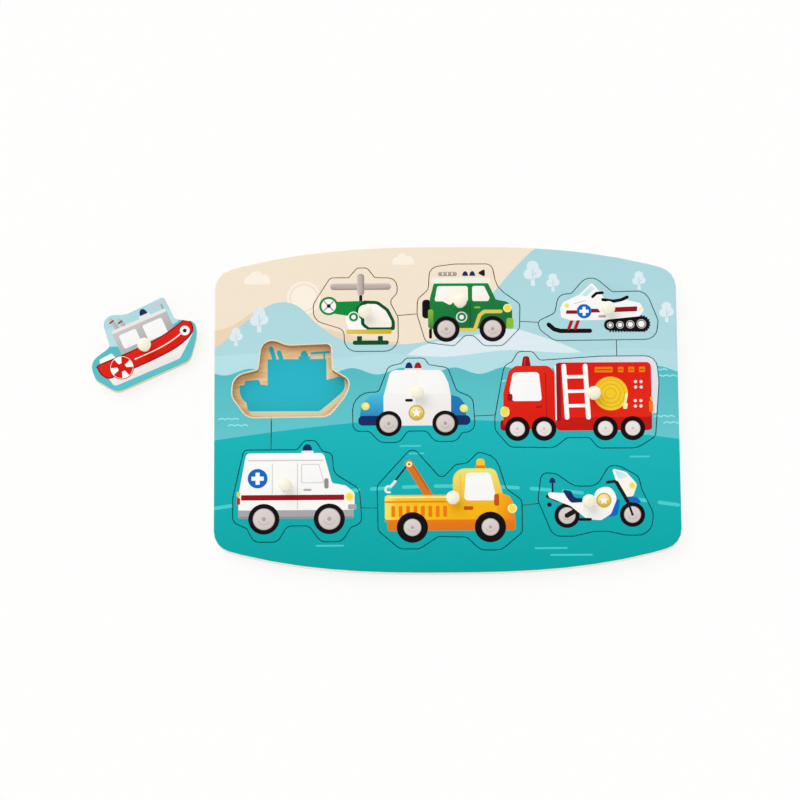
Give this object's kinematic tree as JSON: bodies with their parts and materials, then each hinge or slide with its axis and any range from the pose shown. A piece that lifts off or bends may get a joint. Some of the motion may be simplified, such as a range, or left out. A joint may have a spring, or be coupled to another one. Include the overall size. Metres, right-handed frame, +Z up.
{
  "type": "vehicle puzzle",
  "caption": "Wooden puzzle board with saw-cut openings and knobbed vehicle plates that lift out of them; the boat plate lies on the table beside its empty recess.",
  "frame": {"origin": "middle of the board's underside, which lies on the table", "axes": "+Z up, +X to the right along the board's long side, +Y away from the bottom edge of its picture"},
  "size_m": [0.3794, 0.2158, 0.0184],
  "materials": {
    "printed_board": "landscape print in sand, pale blue and teal under satin lacquer, on pale sawn plywood",
    "bare_plywood": "bare sanded plywood, with a printed boat silhouette in the recess",
    "knob_paint": "turned wood, cream-white satin paint",
    "helicopter_print": "green and white helicopter print under satin lacquer, bare sawn edge",
    "off_roader_print": "green off-road car print under satin lacquer, bare sawn edge",
    "snowmobile_print": "white and red snowmobile print under satin lacquer, bare sawn edge",
    "boat_print": "red and white rescue boat print under satin lacquer, bare sawn edge",
    "police_car_print": "blue and white police car print under satin lacquer, bare sawn edge",
    "fire_engine_print": "red fire engine print under satin lacquer, bare sawn edge",
    "ambulance_print": "white ambulance print under satin lacquer, bare sawn edge",
    "tow_truck_print": "yellow and orange tow truck print under satin lacquer, bare sawn edge",
    "motorcycle_print": "white and blue motorcycle print under satin lacquer, bare sawn edge"
  },
  "bodies": {
    "board": {"face_board": "printed_board", "backing_board": "bare_plywood"},
    "helicopter": {"helicopter_piece": "helicopter_print", "helicopter_knob": "knob_paint"},
    "off_roader": {"off_roader_piece": "off_roader_print", "off_roader_knob": "knob_paint"},
    "snowmobile": {"snowmobile_piece": "snowmobile_print", "snowmobile_knob": "knob_paint"},
    "boat": {"boat_piece": "boat_print", "boat_knob": "knob_paint"},
    "police_car": {"police_car_piece": "police_car_print", "police_car_knob": "knob_paint"},
    "fire_engine": {"fire_engine_piece": "fire_engine_print", "fire_engine_knob": "knob_paint"},
    "ambulance": {"ambulance_piece": "ambulance_print", "ambulance_knob": "knob_paint"},
    "tow_truck": {"tow_truck_piece": "tow_truck_print", "tow_truck_knob": "knob_paint"},
    "motorcycle": {"motorcycle_piece": "motorcycle_print", "motorcycle_knob": "knob_paint"}
  },
  "joints": [
    {"name": "helicopter_lift", "type": "slide", "parent": "board", "child": "helicopter", "axis": [0, 0, 1], "range_m": [0, 0.04]},
    {"name": "off_roader_lift", "type": "slide", "parent": "board", "child": "off_roader", "axis": [0, 0, 1], "range_m": [0, 0.04]},
    {"name": "snowmobile_lift", "type": "slide", "parent": "board", "child": "snowmobile", "axis": [0, 0, 1], "range_m": [0, 0.04]},
    {"name": "boat_lift", "type": "slide", "parent": "board", "child": "boat", "axis": [0, 0, 1], "range_m": [0, 0.04]},
    {"name": "police_car_lift", "type": "slide", "parent": "board", "child": "police_car", "axis": [0, 0, 1], "range_m": [0, 0.04]},
    {"name": "fire_engine_lift", "type": "slide", "parent": "board", "child": "fire_engine", "axis": [0, 0, 1], "range_m": [0, 0.04]},
    {"name": "ambulance_lift", "type": "slide", "parent": "board", "child": "ambulance", "axis": [0, 0, 1], "range_m": [0, 0.04]},
    {"name": "tow_truck_lift", "type": "slide", "parent": "board", "child": "tow_truck", "axis": [0, 0, 1], "range_m": [0, 0.04]},
    {"name": "motorcycle_lift", "type": "slide", "parent": "board", "child": "motorcycle", "axis": [0, 0, 1], "range_m": [0, 0.04]}
  ]
}
